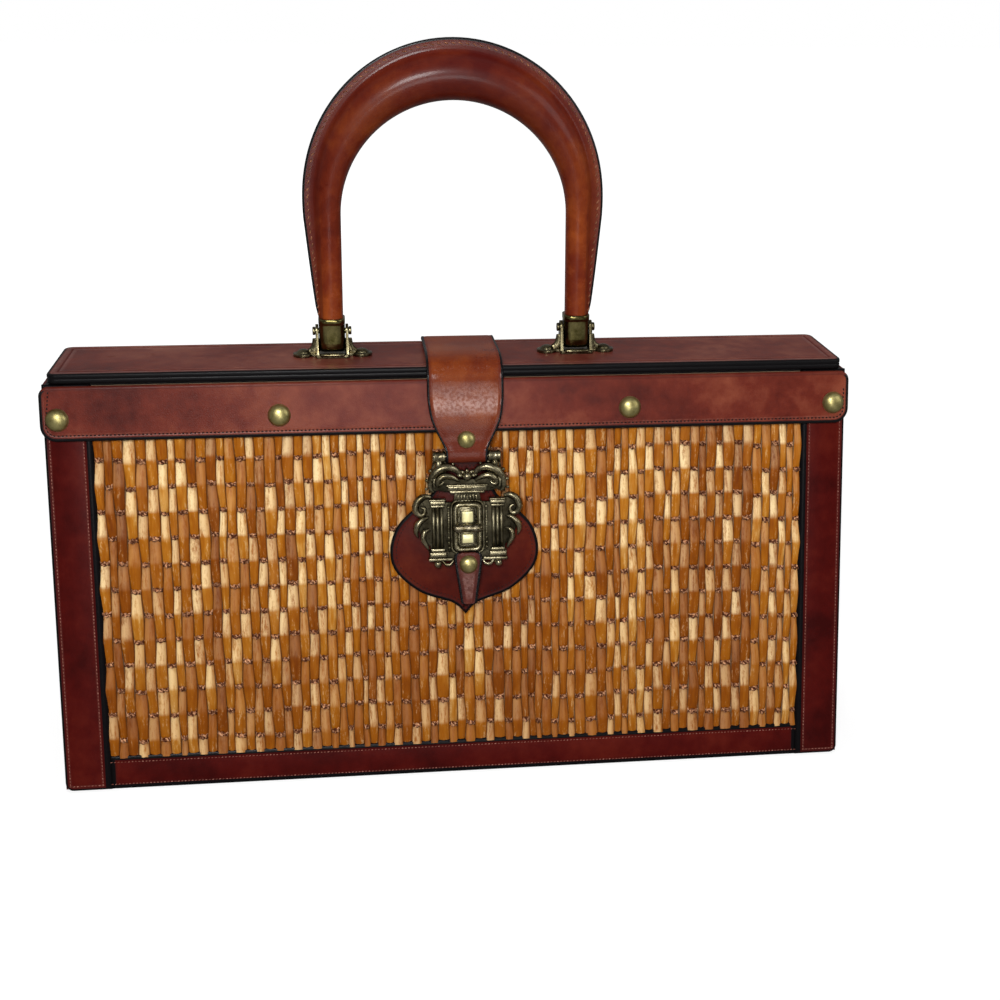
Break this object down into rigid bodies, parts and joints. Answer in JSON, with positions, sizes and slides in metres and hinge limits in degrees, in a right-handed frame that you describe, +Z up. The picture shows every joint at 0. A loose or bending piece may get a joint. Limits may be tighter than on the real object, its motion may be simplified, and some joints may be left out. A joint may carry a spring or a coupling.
{
  "type": "basket box bag",
  "caption": "Rigid handbag with reed matting on a sloping front and back, leather bound edges, a hinged lid, an arched handle and a strap with a cast hasp.",
  "frame": {"origin": "middle of the underside, on the surface that the bag stands on", "axes": "+X to the right of someone facing the front, +Y from the front to the back, +Z up"},
  "size_m": [0.34, 0.1034, 0.3074],
  "materials": {
    "board": "plain thin board, covered",
    "oxblood_leather": "glossy dark red leather with black edges",
    "mahogany_leather": "glossy red-brown leather with black edges",
    "cognac_leather": "glossy orange-brown leather with black edges",
    "lining": "matte cotton lining",
    "reed": "varnished split reed bound with twisted cord",
    "bright_brass": "polished brass",
    "antique_brass": "aged cast brass",
    "core": "firm padding"
  },
  "bodies": {
    "box": {"bottom_board": "board", "front_board": "board", "back_board": "board", "left_end_board": "board", "right_end_board": "board", "left_end_leather": "oxblood_leather", "right_end_leather": "oxblood_leather", "bottom_leather": "oxblood_leather", "lining": "lining", "front_reed_mat": "reed", "back_reed_mat": "reed", "front_left_strip": "oxblood_leather", "front_right_strip": "oxblood_leather", "back_left_strip": "oxblood_leather", "back_right_strip": "oxblood_leather", "front_bottom_strip": "oxblood_leather", "back_bottom_strip": "oxblood_leather", "front_band": "mahogany_leather", "back_band": "mahogany_leather", "band_tacks": "bright_brass", "clasp_patch": "oxblood_leather", "clasp_base_plate": "bright_brass", "clasp_back_plate": "antique_brass", "hinge_leaf_box": "antique_brass", "hinge_pin": "antique_brass", "hinge_screws_box": "antique_brass"},
    "lid": {"hinge_leaf_lid": "antique_brass", "hinge_screws_lid": "antique_brass", "lid_lining": "lining", "lid_board": "board", "lid_leather": "mahogany_leather", "strap": "cognac_leather", "strap_stud": "antique_brass", "hasp_bar": "antique_brass", "left_handle_bracket": "antique_brass", "right_handle_bracket": "antique_brass", "bracket_rivets": "antique_brass"},
    "handle": {"handle_leather": "cognac_leather", "handle_core": "core", "left_ferrule": "antique_brass", "right_ferrule": "antique_brass", "left_handle_pin": "antique_brass", "right_handle_pin": "antique_brass"},
    "hasp": {"hasp": "antique_brass", "pull_tab": "mahogany_leather", "pull_tab_stud": "antique_brass"},
    "knob": {"turn_knob": "antique_brass", "knob_retainer": "antique_brass"}
  },
  "joints": [
    {"name": "lid_open", "type": "hinge", "parent": "box", "child": "lid", "pos_m": [0, 0.02753, 0.1714], "axis": [-1, 0, 0], "range_deg": [0, 95]},
    {"name": "handle_swing", "type": "hinge", "parent": "lid", "child": "handle", "pos_m": [0.0012, 0, 0.1865], "axis": [1, 0, 0], "range_deg": [-75, 90]},
    {"name": "hasp_swing", "type": "hinge", "parent": "lid", "child": "hasp", "pos_m": [0.0035, -0.03303, 0.13932], "axis": [-1, 0, 0], "range_deg": [0, 110]},
    {"name": "knob_turn", "type": "hinge", "parent": "box", "child": "knob", "pos_m": [0.0035, -0.03941, 0.10966], "axis": [0, -0.9863, 0.165], "range_deg": [0, 90]}
  ]
}
